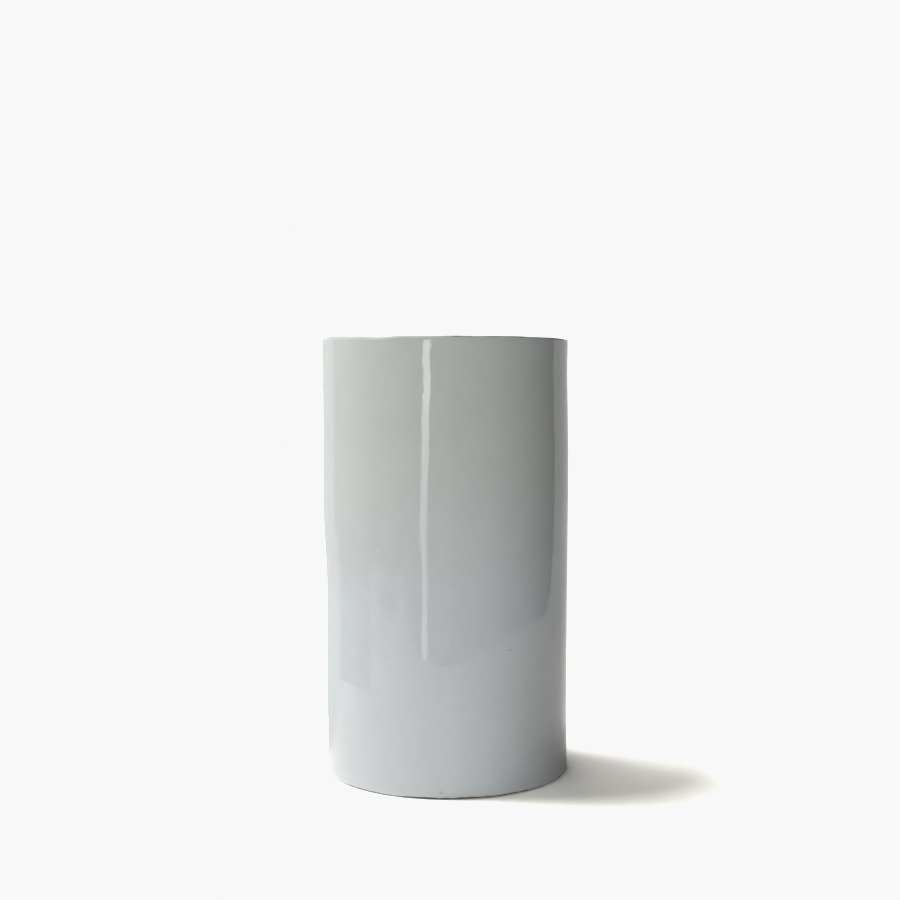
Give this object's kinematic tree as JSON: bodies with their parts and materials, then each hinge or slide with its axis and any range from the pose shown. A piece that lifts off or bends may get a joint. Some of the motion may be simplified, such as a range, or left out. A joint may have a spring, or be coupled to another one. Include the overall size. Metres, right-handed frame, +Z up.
{
  "type": "cylinder vase",
  "caption": "Tall straight-sided vase in pale grey glazed stoneware, closed at the foot and open at the top, for holding cut flower stems in water.",
  "frame": {"origin": "middle of the foot, on the surface that the vase stands on", "axes": "+Z up along the vase's axis, out of the mouth; the vase is turned about it, so X and Y are alike"},
  "size_m": [0.1708, 0.1708, 0.3],
  "materials": {
    "bare_clay": "matte",
    "glaze": "gloss"
  },
  "bodies": {
    "root": {"clay_wall": "bare_clay", "clay_base": "bare_clay", "corner_coil": "bare_clay", "outer_glaze": "glaze", "liner_glaze": "glaze"}
  },
  "joints": []
}
